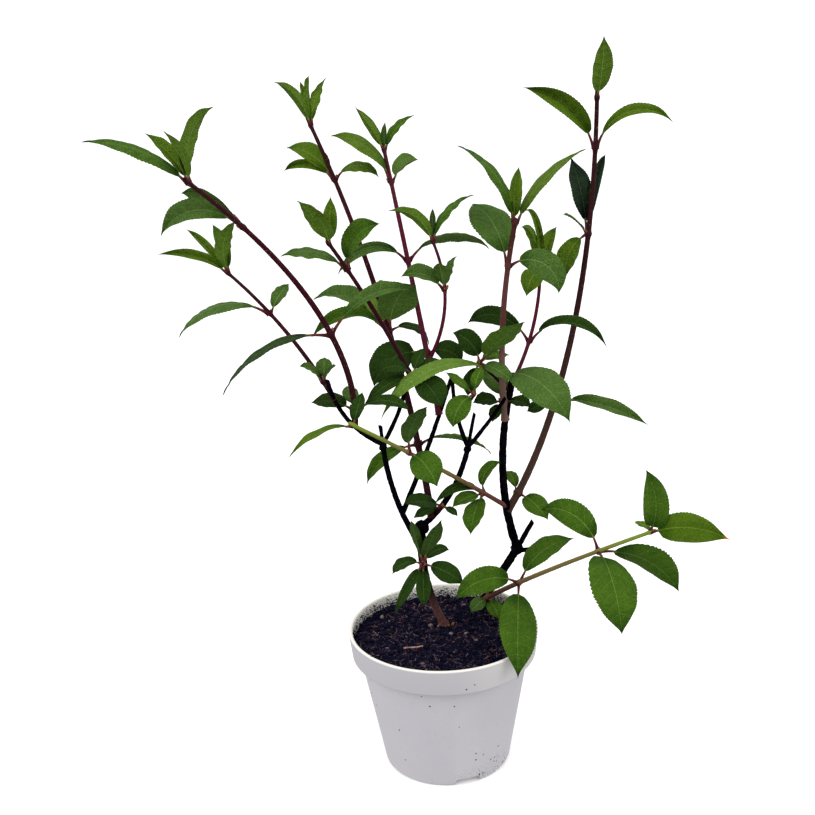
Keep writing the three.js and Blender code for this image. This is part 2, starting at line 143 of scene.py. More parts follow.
def paint(red, green, blue):
    """A colour as the eye reads it, 0 to 255, in a shader's linear light."""
    shares = [value / 255 for value in (red, green, blue)]
    return (*[s / 12.92 if s < 0.0404 else ((s + 0.055) / 1.055) ** 2.4 for s in shares], 1.0)


def new_finish(name, specular):
    """A material with one shader, and the wire of its surface's places."""
    finish = bpy.data.materials.new(name)
    finish.use_nodes = True
    nodes = finish.node_tree.nodes
    shader = nodes["Principled BSDF"]
    shader.inputs["Specular IOR Level"].default_value = specular
    return finish, shader, Wire(nodes.new("ShaderNodeTexCoord").outputs["Object"])


def feed(shader, colour, roughness, normal=None):
    """Links what changes over a surface to its shader."""
    for name, wire in (("Base Color", colour), ("Roughness", roughness), ("Normal", normal)):
        if wire is not None:
            wire.tree.links.new(wire.socket, shader.inputs[name])


def wall_radius(height):
    """The outside radius of the plain wall below the collar."""
    return FOOT_RADIUS + (BODY_TOP_RADIUS - FOOT_RADIUS) * height / COLLAR_FOOT


def rounded(corner_from, corner, corner_to, radius, steps=4):
    """Points that round one corner of an outline."""
    corner = Vector(corner)
    back = (Vector(corner_from) - corner).normalized() * radius
    on = (Vector(corner_to) - corner).normalized() * radius
    shares = [i / steps for i in range(steps + 1)]
    return [tuple(corner + back * (1 - t) ** 2 + on * t**2) for t in shares]


def pot_outline():
    """Radius and height from the middle of the underside, out and up the wall, and back in."""
    gutter = FOOT_RADIUS - POT_WALL
    lip_under = POT_HEIGHT - LIP_HEIGHT
    lip_inside = RIM_RADIUS - LIP_WIDTH
    # Each corner's radius, its height, and how far it is rounded, in millimetres
    corners = [
        (0, 0, 0),
        (FLOOR_RADIUS, 0, 0.6),
        (FLOOR_RADIUS, GUTTER_HEIGHT, 1.2),
        (gutter, GUTTER_HEIGHT, 1.2),
        (gutter, 0, 0.4),
        (FOOT_RADIUS, 0, 1.6),
        (wall_radius(COLLAR_FOOT), COLLAR_FOOT, 0.8),
        (COLLAR_RADIUS, COLLAR_FOOT + 0.6 * MM, 1.0),
        (RIM_RADIUS - 0.4 * MM, lip_under, 2.0),
        (RIM_RADIUS, POT_HEIGHT, 1.8),
        (lip_inside, POT_HEIGHT, 1.8),
        (COLLAR_RADIUS - POT_WALL, COLLAR_FOOT + 3 * MM, 1.0),
        (wall_radius(COLLAR_FOOT) - POT_WALL, COLLAR_FOOT + POT_WALL, 1.0),
        (wall_radius(GUTTER_HEIGHT) - POT_WALL, GUTTER_HEIGHT + POT_WALL, 1.0),
        (0, GUTTER_HEIGHT + POT_WALL, 0),
    ]
    outline = [corners[0][:2]]
    for before, (radius, height, bend), after in zip(corners, corners[1:], corners[2:]):
        outline += rounded(before[:2], (radius, height), after[:2], bend * MM)
    return outline + [corners[-1][:2]]


def placed(name, data):
    """A new object in the scene."""
    made = bpy.data.objects.new(name, data)
    bpy.context.scene.collection.objects.link(made)
    return made


def smooth(mesh, sharp_degrees):
    """Smooth shading, but for the edges above the given angle."""
    mesh.shade_smooth()
    mesh.set_sharp_from_angle(angle=math.radians(sharp_degrees))


def new_piece(name, mesh, finishes, sharp_degrees=180):
    """A piece from its mesh and its finishes."""
    mesh.name = name
    for finish in finishes:
        mesh.materials.append(finish)
    smooth(mesh, sharp_degrees)
    return placed(name, mesh)


def settled(shape):
    """The mesh of a finished shape."""
    mesh = bpy.data.meshes.new("shape")
    shape.to_mesh(mesh)
    shape.free()
    return mesh


def polar(radius, turn):
    """The place at a radius and an angle about an upright axis."""
    return radius * math.cos(turn), radius * math.sin(turn)


def circle(radius, count, shift=0.0):
    """Places spaced evenly round the pot's axis."""
    return [polar(radius, math.tau * (i + shift) / count) for i in range(count)]


def turned_mesh(outline, sides):
    """An outline turned about the pot's axis. Its ends lie on the axis."""
    shape = bmesh.new()
    rings = []
    for radius, height in outline:
        if radius < 1e-6:
            rings.append([shape.verts.new((0, 0, height))] * sides)
        else:
            rings.append([shape.verts.new((x, y, height)) for x, y in circle(radius, sides)])
    for lower, upper in zip(rings, rings[1:]):
        for i in range(sides):
            corners = [lower[i], lower[(i + 1) % sides], upper[(i + 1) % sides], upper[i]]
            shape.faces.new(list(dict.fromkeys(corners)))
    bmesh.ops.recalc_face_normals(shape, faces=shape.faces)
    return settled(shape)


def cutter(shape, heading, radius):
    """A throwaway solid at a heading round the pot."""
    turn = Matrix.Rotation(math.radians(heading), 4, "Z")
    bmesh.ops.transform(shape, matrix=turn @ Matrix.Translation((radius, 0, 0)), verts=shape.verts)
    return placed("cutter", settled(shape))


def notch_cutter(heading):
    shape = bmesh.new()
    size = Matrix.Diagonal((NOTCH_LENGTH, NOTCH_WIDTH, 2 * GUTTER_HEIGHT, 1))
    bmesh.ops.create_cube(shape, size=1, matrix=size)
    bmesh.ops.bevel(shape, geom=shape.edges[:], offset=NOTCH_ROUNDING, segments=2, affect="EDGES")
    return cutter(shape, heading, FOOT_RADIUS)


def drain_cutter(heading):
    shape = bmesh.new()
    bmesh.ops.create_cone(
        shape, cap_ends=True, segments=24, radius1=DRAIN_HOLE_RADIUS, radius2=DRAIN_HOLE_RADIUS,
        depth=4 * GUTTER_HEIGHT)
    return cutter(shape, heading, (FLOOR_RADIUS + FOOT_RADIUS - POT_WALL) / 2)


def cut_out(piece, cutters):
    """Cuts throwaway solids out of a piece."""
    for made in cutters:
        cut = piece.modifiers.new("cut", "BOOLEAN")
        cut.operation = "DIFFERENCE"
        cut.solver = "MANIFOLD"
        cut.object = made
    whole = piece.evaluated_get(bpy.context.evaluated_depsgraph_get())
    mesh = bpy.data.meshes.new_from_object(whole)
    piece.modifiers.clear()
    piece.data = mesh
    for made in cutters:
        bpy.data.objects.remove(made)


def pot_plastic():
    """Matte white plastic with dirt inside the lip and at the foot. The lip's top and the inside wall are
    a paler cream, partly painted light, and the collar has painted shade on its left side.
    """
    finish, shader, places = new_finish("pot_plastic", 0.3)
    across, depth, height = places.axes()
    level = places.node("VectorMath", {0: places, 1: (1, 1, 0)}, operation="MULTIPLY")
    reach = level.node("VectorMath", {0: level}, 1, operation="LENGTH")
    clouds = places.mottle(22, 4, 0.6)
    scuffs = places.mottle(260, 2).rising(0.56, 0.72)
    clean = clouds.colour(paint(177, 175, 181), paint(188, 186, 191))
    used = (scuffs * 0.25).colour(clean, paint(172, 169, 174))
    collar = height.rising(COLLAR_FOOT - 1 * MM, COLLAR_FOOT + 1 * MM)
    # The collar is painted darker on its left side and lighter on its right: painted shade and painted
    # light.
    collar_shade = across.rising(0, 60 * MM).colour(paint(171, 169, 174), paint(192, 190, 188))
    scuffed_and_shaded = (collar * 0.8).colour(used, collar_shade)
    # The lip's top and the inside wall turn a paler cream. This is partly the plastic's cream tint and
    # partly painted light: a painted highlight on the lip's top, and painted light against the shade
    # inside.
    lip = height.rising(POT_HEIGHT - 1.6 * MM, POT_HEIGHT - 0.4 * MM)
    inside = reach.rising(COLLAR_RADIUS - 0.2 * MM, COLLAR_RADIUS - 0.8 * MM)
    inside = inside * height.rising(COLLAR_FOOT - 3 * MM, COLLAR_FOOT + 3 * MM)
    cream_and_painted_light = (lip + inside).limited().colour(scuffed_and_shaded, paint(214, 211, 203))
    # Dirt clings to the foot at the front right, and the soil has splashed inside the lip
    foot = height.rising(24 * MM, 4 * MM) * across.rising(-10 * MM, 30 * MM) * depth.rising(0, -30 * MM)
    streak = height.rising(50 * MM, 0) * across.rising(20 * MM, 40 * MM)
    streak = streak * depth.rising(-20 * MM, -35 * MM)
    splash = height.rising(POT_HEIGHT + 2 * MM, SOIL_LEVEL + 2 * MM) * inside
    dust = places.mottle(900, 2, 0.7).rising(0.58, 0.64)
    fine = places.mottle(850, 2, 0.7) + splash * 0.2
    cells = {"Vector": places, "Scale": 290.0}
    spot = places.node("TexVoronoi", cells)
    cell = places.node("TexVoronoi", cells, 1)
    chance = cell.node("SeparateColor", {"Color": cell}) + streak * 0.25 + foot * 0.4
    specks = spot.rising(0.29, 0.2) * (chance > 0.978)
    dirt = dust * (foot * 0.9 + streak * 0.3) + inside * fine.rising(0.62, 0.7) + specks
    feed(shader, dirt.limited().colour(cream_and_painted_light, paint(48, 44, 52)), clouds * 0.2 + 0.42,
         (places.mottle(700, 2) + clouds * 0.6).bump(0.12, 0.6 * MM))
    return finish


pot = new_piece("nursery_pot", turned_mesh(pot_outline(), POT_SIDES), [pot_plastic()])
drain_headings = [NOTCH_HEADINGS[0] + 30 + 360 / DRAIN_HOLES * i for i in range(DRAIN_HOLES)]
cut_out(pot, [notch_cutter(h) for h in NOTCH_HEADINGS] + [drain_cutter(h) for h in drain_headings])
smooth(pot.data, 35)
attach(pot, "root")
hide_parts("pot")

# The compost
# Damp dark potting compost, filled to a finger's width under the lip. Its crumbs, bits of
# bark and fibres lie loose on it, and some crumbs stick to the wall above it.

SOIL_RADIUS = 80.2 * MM
SOIL_FLOOR = GUTTER_HEIGHT + POT_WALL + 0.3 * MM
SOIL_RELIEF = 2.6 * MM
SOIL_RINGS = 110
SOIL_SIDES = 260
CRUMB_COUNT = 2600
CRUMB_SIZES = (0.7, 0.9, 1.1, 1.4, 1.8, 2.4)
CRUMB_MIX = (84, 14, 2)
WALL_CRUMB_COUNT = 420
TRUNK_FEET = ((1 * MM, 23 * MM), (36 * MM, 61 * MM))
FOOT_CRUMB_COUNT = 70
FIBRE_COUNT = 2100
FIBRE_MIX = (8, 14, 1)
FIBRE_STEPS = 5
STICK_PLACE = (-27 * MM, -22 * MM)
STICK_HEADING = 8
STICK_POINTS = 9


def soil_height(x, y):
    """The compost's uneven top: hollows and heaps, with crumbs over them."""
    slow = noise.fractal(Vector((x * 32, y * 32, 3.7)), 1.0, 2.0, 2)
    fine = noise.turbulence(Vector((x * 210, y * 210, 1.3)), 3, False)
    edge = max(0.0, math.hypot(x, y) / SOIL_RADIUS - 0.8) * 13 * MM
    return SOIL_LEVEL + SOIL_RELIEF * (0.5 * slow + 0.9 * (fine - 0.45)) + edge - 0.8 * MM


def soil_mesh():
    """The uneven top ring by ring, then the wall, its shoulder and the flat bottom."""
    points = [(0, 0, soil_height(0, 0))]
    for ring in range(1, SOIL_RINGS + 1):
        for x, y in circle(SOIL_RADIUS * ring / SOIL_RINGS, SOIL_SIDES, 0.5 * (ring % 2)):
            points.append((x, y, soil_height(x, y)))
    shoulder = COLLAR_FOOT - 3 * MM
    for height, gap in ((shoulder, 0.6 * MM), (SOIL_FLOOR, 0.5 * MM)):
        radius = wall_radius(height) - POT_WALL - gap
        points += [(x, y, height) for x, y in circle(radius, SOIL_SIDES)]
    faces = [(0, 1 + i, 1 + (i + 1) % SOIL_SIDES) for i in range(SOIL_SIDES)]
    for inner in range(1, 1 + (SOIL_RINGS + 1) * SOIL_SIDES, SOIL_SIDES):
        outer = inner + SOIL_SIDES
        for i in range(SOIL_SIDES):
            after = (i + 1) % SOIL_SIDES
            faces.append((inner + i, outer + i, outer + after, inner + after))
    faces.append(tuple(outer + i for i in reversed(range(SOIL_SIDES))))
    mesh = bpy.data.meshes.new("compost")
    mesh.from_pydata(points, [], faces)
    return mesh


def joined_mesh(parts):
    """One mesh from parts, which may give each face a finish and each point an age."""
    points, faces, finishes, ages, start = [], [], [], [], 0
    for part in parts:
        points.append(np.asarray(part["points"], float))
        faces += [tuple(start + i for i in face) for face in part["faces"]]
        finishes += list(part.get("finishes", [0] * len(part["faces"])))
        ages += list(part.get("ages", [0.0] * len(part["points"])))
        start += len(part["points"])
    mesh = bpy.data.meshes.new("joined")
    mesh.from_pydata(np.vstack(points).tolist(), [], faces)
    mesh.polygons.foreach_set("material_index", finishes)
    mesh.attributes.new("age", "FLOAT", "POINT").data.foreach_set("value", ages)
    return mesh


def lump():
    """The twelve corners and twenty faces of an even lump, about 2 across."""
    golden = (1 + 5**0.5) / 2
    corners = []
    for a in (-1, 1):
        for b in (-golden, golden):
            corners += [Vector((0, a, b)), Vector((a, b, 0)), Vector((b, 0, a))]
    faces = []
    for i, j, k in combinations(range(12), 3):
        a, b, c = corners[i], corners[j], corners[k]
        if max((a - b).length, (b - c).length, (a - c).length) < 2.1:
            outward = (b - a).cross(c - a).dot(a) > 0
            faces.append((i, j, k) if outward else (i, k, j))
    return corners, faces


LUMP_CORNERS, LUMP_FACES = lump()


def crumb(place, size, dice):
    """A lump with uneven corners, turned and squashed."""
    turn = Matrix.Rotation(dice.uniform(0, 6), 3, Vector((dice.random(), dice.random(), 1)))
    stretch = Vector((dice.uniform(0.7, 1.4), dice.uniform(0.6, 1.1), dice.uniform(0.5, 0.9)))
    points = []
    for corner in LUMP_CORNERS:
        moved = turn @ corner * (size * dice.uniform(0.38, 0.6))
        points.append([place[k] + moved[k] * stretch[k] for k in range(3)])
    return {"points": points, "faces": LUMP_FACES}


def unit(vector):
    return vector / np.linalg.norm(vector)


def units(vectors):
    return vectors / np.linalg.norm(vectors, axis=-1, keepdims=True)


def squared(side, tangent):
    """A direction turned square to the tangent."""
    return unit(side - tangent * np.dot(side, tangent))


def swept(path, tangents, side, sides, radius_at):
    """Rings of points square to a path, and the faces between them."""
    points, faces = [], []
    for row, (place, tangent) in enumerate(zip(path, tangents)):
        side = squared(side, tangent)
        up = np.cross(tangent, side)
        for i in range(sides):
            turn = math.tau * i / sides
            points.append(place + radius_at(row, turn) * (math.cos(turn) * side + math.sin(turn) * up))
    for low in range(0, len(points) - sides, sides):
        high = low + sides
        faces += [(low + i, low + (i + 1) % sides, high + (i + 1) % sides, high + i) for i in range(sides)]
    return points, faces


def strand(path, radii, sides=4):
    """A thin closed strand along a path, with a radius for each point."""
    path = np.asarray(path, float)
    tangents = np.gradient(path, axis=0)
    side = np.cross(tangents[0], (0.13, 0.21, 0.97))
    tangents = [unit(tangent) for tangent in tangents]
    points, faces = swept(path, tangents, side, sides, lambda row, turn: radii[row])
    faces += [tuple(reversed(range(sides))), tuple(range(len(points) - sides, len(points)))]
    return {"points": points, "faces": faces}


def scattered(share, dice):
    """A place on the compost, within a share of its radius."""
    turn = dice.uniform(0, math.tau)
    return polar(SOIL_RADIUS * share * dice.random() ** 0.5, turn)


def fibre(dice):
    """A bent fibre that lies across the compost."""
    x, y = scattered(0.95, dice)
    heading, bend = dice.uniform(0, math.tau), dice.uniform(-0.5, 0.5)
    step = dice.uniform(3, 11) * MM / FIBRE_STEPS
    width = dice.uniform(0.09, 0.22) * MM
    path = []
    for _ in range(FIBRE_STEPS + 1):
        lift = width + 0.5 * MM * dice.random()
        path.append((x, y, soil_height(x, y) + lift))
        heading += bend / 3 + dice.uniform(-0.2, 0.2)
        x += step * math.cos(heading)
        y += step * math.sin(heading)
        if math.hypot(x, y) > SOIL_RADIUS - 1 * MM:
            break
    if len(path) < 3:
        return None
    return strand(path, [width * (0.5 + 0.5 * math.sin(0.4 + i / 2)) for i in range(len(path))])


def soil_finish():
    """Blue black, damp compost with a few lighter grains."""
    finish, shader, places = new_finish("compost", 0.05)
    fine, patches = places.mottle(650, 4, 0.65), places.mottle(90, 3)
    dark = patches.colour(paint(2, 4, 21), paint(10, 10, 32))
    grains = fine.rising(0.55, 0.8).colour(dark, paint(34, 28, 44))
    feed(shader, grains, 0.98 - patches * 0.3, fine.bump(0.9, 1.2 * MM))
    return finish


def crumb_finish(name, dark, light):
    """A rough, broken surface that drifts between two colours."""
    finish, shader, places = new_finish(name, 0.06)
    grain = places.mottle(300, 3)
    drift = grain.rising(0.35, 0.65).colour(paint(*dark), paint(*light))
    feed(shader, drift, grain * 0.3 + 0.7, places.mottle(1500, 2).bump(0.5, 0.4 * MM))
    return finish


dice = random.Random(11)
crumbs = []
for _ in range(CRUMB_COUNT):
    x, y = scattered(0.98, dice)
    size = dice.choice(CRUMB_SIZES) * MM
    part = crumb((x, y, soil_height(x, y) + size * 0.2), size, dice)
    part["finishes"] = dice.choices((0, 1, 2), CRUMB_MIX) * len(LUMP_FACES)
    crumbs.append(part)
for foot_x, foot_y in TRUNK_FEET:
    for _ in range(FOOT_CRUMB_COUNT):
        turn = dice.uniform(0, math.tau)
        x, y = polar(dice.uniform(3.5, 7) * MM, turn)
        x, y = foot_x + x, foot_y + y
        size = dice.uniform(0.8, 2.2) * MM
        crumbs.append(crumb((x, y, soil_height(x, y) + size * 0.3), size, dice))
for _ in range(WALL_CRUMB_COUNT):
    turn = dice.uniform(0, math.tau)
    height = SOIL_LEVEL + dice.random() ** 1.6 * 9.5 * MM
    radius = COLLAR_RADIUS - POT_WALL - (height - SOIL_LEVEL) * 0.02
    crumbs.append(crumb((*polar(radius, turn), height), dice.uniform(0.4, 1.1) * MM, dice))
fibres = [part for part in (fibre(dice) for _ in range(FIBRE_COUNT)) if part]
for part in fibres:
    part["finishes"] = dice.choices((0, 1, 2), FIBRE_MIX) * len(part["faces"])
stick_path = []
for i in range(STICK_POINTS):
    x, y = polar((i - 4) * 2.2 * MM, math.radians(STICK_HEADING))
    height = SOIL_LEVEL + (1.6 + 0.25 * math.sin(i)) * MM
    stick_path.append((STICK_PLACE[0] + x, STICK_PLACE[1] + y, height))
stick = strand(stick_path, [(0.7 + 0.2 * math.sin(i * 1.7)) * MM for i in range(STICK_POINTS)], 7)
stick["finishes"] = [2] * len(stick["faces"])

compost = new_piece("compost", soil_mesh(), [soil_finish()])
soil_crumbs = new_piece("compost_crumbs", joined_mesh(crumbs), [
    crumb_finish("dark_crumb", (2, 4, 21), (12, 12, 36)),
    crumb_finish("bark_crumb", (16, 13, 30), (46, 34, 46)),
    crumb_finish("pale_crumb", (92, 80, 80), (124, 108, 104)),
])
soil_fibres = new_piece("compost_fibres", joined_mesh(fibres + [stick]), [
    crumb_finish("brown_fibre", (84, 60, 68), (138, 104, 106)),
    crumb_finish("dark_fibre", (26, 22, 40), (58, 46, 62)),
    crumb_finish("pale_fibre", (128, 98, 90), (168, 134, 118)),
])
for piece in (compost, soil_crumbs, soil_fibres):
    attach(piece, "root")
    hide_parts("soil")

# The old wood
# Two woody trunks, cut back hard in other years, fork into near black limbs with stubs and
# swollen knuckles. The bark is furrowed, and browner where it meets the compost.

# A stem is its name, what it grows on and how far up that, its length, the lean and the heading
# of its foot and then of its top, and its girth at both. A trunk has a place on the compost
# instead. Age is how young the bark of its foot is, and settle how soon it takes its last lean.
Stem = namedtuple(
    "Stem", "name on at length start end girth tone nodes knuckle flare age settle bark spur",
    defaults=(None, (), 0, 0, 0.7, 1, "maroon", False))
LIMBS = [
    Stem("trunk_left", None, TRUNK_FEET[0], 108, (25, 200), (8, 315), (6.8, 8), flare=0.45, knuckle=13,
         age=0.0),
    Stem("trunk_right", None, TRUNK_FEET[1], 76, (34, 320), (31, 355), (6.8, 8), flare=0.45, knuckle=11,
         age=0.3),
    Stem("limb_left", "trunk_left", 0.79, 116, (31, 215), (13, 255), (5.4, 4.4), knuckle=7),
    Stem("limb_left_outer_arm", "limb_left", 0.99, 79, (60, 200), (14, 230), (4, 3.4)),
    Stem("limb_left_stub", "limb_left", 0.99, 16, (4, 180), (4, 180), (3.4, 3.2)),
    Stem("limb_left_inner_arm", "limb_left", 0.99, 68, (44, 40), (20, 60), (3.8, 3.2)),
    Stem("limb_middle", "limb_left", 0.36, 126, (26, 20), (24, 35), (4.8, 3.4)),
    Stem("limb_centre", "trunk_left", 0.99, 90, (67, 15), (20, 305), (5.6, 4.6), settle=2, knuckle=6.5),
    Stem("limb_centre_left_arm", "limb_centre", 0.99, 68, (22, 200), (4, 285), (3.8, 3.2)),
    Stem("limb_centre_stub", "limb_centre", 0.99, 30, (13, 20), (13, 20), (3.2, 2.9)),
    Stem("limb_centre_right_arm", "limb_centre", 0.99, 53, (45, 15), (42, 30), (3.8, 3.2)),
    Stem("limb_right", "trunk_right", 0.98, 166, (20, 215), (14, 0), (7.8, 6)),
    Stem("limb_right_stub", "trunk_right", 0.98, 31, (28, 345), (28, 345), (5, 4.4)),
    Stem("limb_right_short_stub", "trunk_right", 0.94, 15, (83, 350), (83, 350), (4.6, 4.2)),
]
LINE_STEPS = 96
SUNK_LENGTH = 9 * MM
FLARE_HEIGHT = 7 * MM
FURROW_DEPTH = 0.13
WOOD_SIDES = 18
WOOD_SPACING = 1.3 * MM


def direction(lean, heading):
    """The direction that leans this far from upright towards a heading, in degrees."""
    tilt, turn = math.radians(lean), math.radians(heading)
    return np.array((*polar(math.sin(tilt), turn), math.cos(tilt)))


def stem_line(foot, stem):
    """A stem's middle line, whose direction swings from its start to its end."""
    swing = ((np.arange(LINE_STEPS) + 0.5) / LINE_STEPS) ** (1 / stem.settle)
    first, last = direction(*stem.start), direction(*stem.end)
    steps = first * (1 - swing[:, None]) + last * swing[:, None]
    steps = units(steps) * (stem.length * MM / LINE_STEPS)
    return np.vstack([foot, foot + np.cumsum(steps, axis=0)])


def point_at(line, share):
    """The place at a share of the way along a line."""
    place = min(max(share, 0), 1) * (len(line) - 1)
    whole = min(int(place), len(line) - 2)
    return line[whole] + (line[whole + 1] - line[whole]) * (place - whole)


def tangent_at(line, share):
    whole = min(int(min(max(share, 0), 1) * (len(line) - 1)), len(line) - 2)
    return unit(line[whole + 1] - line[whole])


def tube(line, radius_at, sides, spacing, ages=(0.0, 1.0), last=1.0, tip=0.0, cut_lean=0.0):
    """A skin over a line, up to its share last. It ends in a point tip long, or in a cut that
    leans by cut_lean of its radius."""
    length = np.linalg.norm(np.diff(line, axis=0), axis=1).sum() * last
    rows = max(3, int(length / spacing))
    shares = [last * row / rows for row in range(rows + 1)]
    path = [point_at(line, share) for share in shares]
    tangents = [tangent_at(line, share) for share in shares]
    side = np.cross(tangents[0], (0.31, 0.87, 0.38))

    def radius_in(row, turn):
        return radius_at(shares[row], turn, path[row])

    points, faces = swept(path, tangents, side, sides, radius_in)
    rim = len(points) - sides
    for i in range(sides):
        turn = math.tau * i / sides
        lean = tangents[-1] * radius_in(-1, turn) * cut_lean * math.cos(turn)
        points[rim + i] = points[rim + i] + lean
    faces += [(rim + i, rim + (i + 1) % sides, len(points)) for i in range(sides)]
    faces.append(tuple(reversed(range(sides))))
    points.append(path[-1] + tangents[-1] * tip)
    age = [ages[0] + (ages[1] - ages[0]) * (row / rows) for row in range(rows + 1) for _ in range(sides)]
    return {"points": points, "faces": faces, "ages": age + [ages[1]]}


def girth_at(stem, share):
    return stem.girth[0] + (stem.girth[1] - stem.girth[0]) * share


def wood_radius(stem, share, turn, place):
    """Old wood's radius, with its taper, its flared foot, long furrows and knots."""
    length = stem.length * MM
    flare = 1 + stem.flare * math.exp(-share * length / FLARE_HEIGHT)
    furrows = noise.fractal(Vector((*polar(2.2, turn), share * length * 160)), 1.0, 2.0, 3)
    knots = noise.noise(Vector(place) * 420)
    relief = 1 + FURROW_DEPTH * (furrows + 0.6 * knots)
    return girth_at(stem, share) / 2 * MM * flare * relief


def knuckle(centre, radius):
    """A lumpy knob where old cuts have healed."""
    shape = bmesh.new()
    bmesh.ops.create_icosphere(shape, subdivisions=4, radius=radius)
    points = []
    for vert in shape.verts:
        place = Vector(centre) + vert.co
        points.append(place + vert.normal * (noise.fractal(place * 260, 1.0, 2.0, 3) * 1.1 * MM))
    faces = [[v.index for v in face.verts] for face in shape.faces]
    shape.free()
    return {"points": points, "faces": faces, "ages": [1.0] * len(points)}


lines = {}
old_wood_parts = []
for stem in LIMBS:
    foot = point_at(lines[stem.on], stem.at) if stem.on else np.array((*stem.at, SOIL_LEVEL))
    line = lines[stem.name] = stem_line(foot, stem)
    if not stem.on:
        line = np.vstack([foot - tangent_at(line, 0) * SUNK_LENGTH, line])
    skin = partial(wood_radius, stem)
    ages = (stem.age, 1.0)
    old_wood_parts.append(tube(line, skin, WOOD_SIDES, WOOD_SPACING, ages, tip=0.2 * MM, cut_lean=0.5))
    if stem.knuckle:
        old_wood_parts.append(knuckle(point_at(lines[stem.name], 0.97), stem.knuckle / 2 * MM))


def age_of(places):
    """The age that a piece carries: 0 at the foot of a stem or a leaf, and 1 at its tip."""
    return places.node("Attribute", {}, 2, attribute_name="age")


def old_bark():
    """Near black, furrowed bark that is grey brown at the foot."""
    finish, shader, places = new_finish("old_bark", 0.01)
    age, grain, patches = age_of(places), places.mottle(900, 4, 0.7), places.mottle(140, 3)
    black = patches.rising(0.4, 0.7).colour(paint(3, 3, 7), paint(12, 10, 15))
    brown = grain.rising(0.35, 0.65).colour(paint(58, 34, 34), paint(108, 76, 72))
    bark = (age + patches * 0.1).rising(0.5, 0.2).colour(black, brown)
    feed(shader, bark, patches * 0.2 + 0.75, (grain + patches).bump(0.7, 0.8 * MM))
    return finish


old_wood = new_piece("old_wood", joined_mesh(old_wood_parts), [old_bark()], 50)
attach(old_wood, "root")
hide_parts(*[stem.name for stem in LIMBS])

# This year's shoots
# Long maroon shoots that grow out of the pruned limbs, thinner and softer towards the tip.
# Each node is a swollen ring that carries a pair or a whorl of leaves and their buds.

